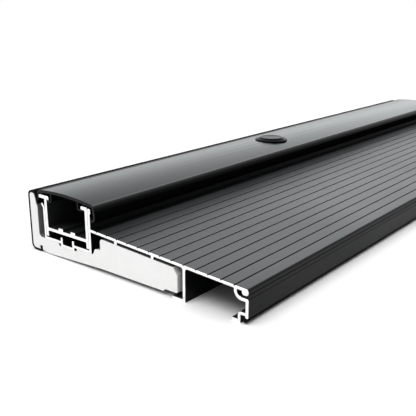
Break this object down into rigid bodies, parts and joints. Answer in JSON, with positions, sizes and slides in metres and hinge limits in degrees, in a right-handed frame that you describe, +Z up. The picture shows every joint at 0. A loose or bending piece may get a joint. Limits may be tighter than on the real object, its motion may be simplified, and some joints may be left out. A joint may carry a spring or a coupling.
{
  "type": "door threshold",
  "caption": "Adjustable door threshold cut to a short length: grooved dark aluminium sill deck on a pale block, with a black arched cap that a screw raises and lowers.",
  "frame": {"origin": "middle of the bounding box, on the plane that the threshold stands on", "axes": "+X runs along the doorway, +Y points to the room side, +Z is up"},
  "size_m": [0.45, 0.1426, 0.0382],
  "materials": {
    "block": "foamed plastic, fine closed cells on the cut faces",
    "cover": "smooth black plastic skin",
    "coated_deck": "satin anthracite coating on the long faces, bright bare metal on the cut ends",
    "coated_rail": "satin dark coating on the long faces, bright bare metal on the cut ends",
    "cap": "black, semi-gloss",
    "plug": "black, semi-gloss",
    "screw_steel": "plain turned steel",
    "insert_brass": "turned brass",
    "seal_rubber": "matt black rubber",
    "strip_plastic": "smooth dark plastic in the tone of the fascia"
  },
  "bodies": {
    "sill": {"substrate": "block", "inner_cover": "cover", "sill_deck": "coated_deck", "bottom_seal": "seal_rubber", "nosing_strip": "strip_plastic"},
    "riser": {"riser_rail": "coated_rail", "cap_cover": "cap", "adjuster_plug": "plug", "screw_insert": "insert_brass"},
    "adjuster": {"adjusting_screw": "screw_steel"}
  },
  "joints": [
    {"name": "riser_lift", "type": "slide", "parent": "sill", "child": "riser", "axis": [0, 0, 1], "range_m": [-0.0005, 0.005]},
    {"name": "screw_turn", "type": "hinge", "parent": "sill", "child": "adjuster", "pos_m": [-0.041, 0.0414, 0.008], "axis": [0, 0, 1], "range_deg": [-1445, 146]}
  ],
  "couplings": [
    {"joint": "screw_turn", "follows": "riser_lift", "rad_per_m": -5026.5}
  ]
}
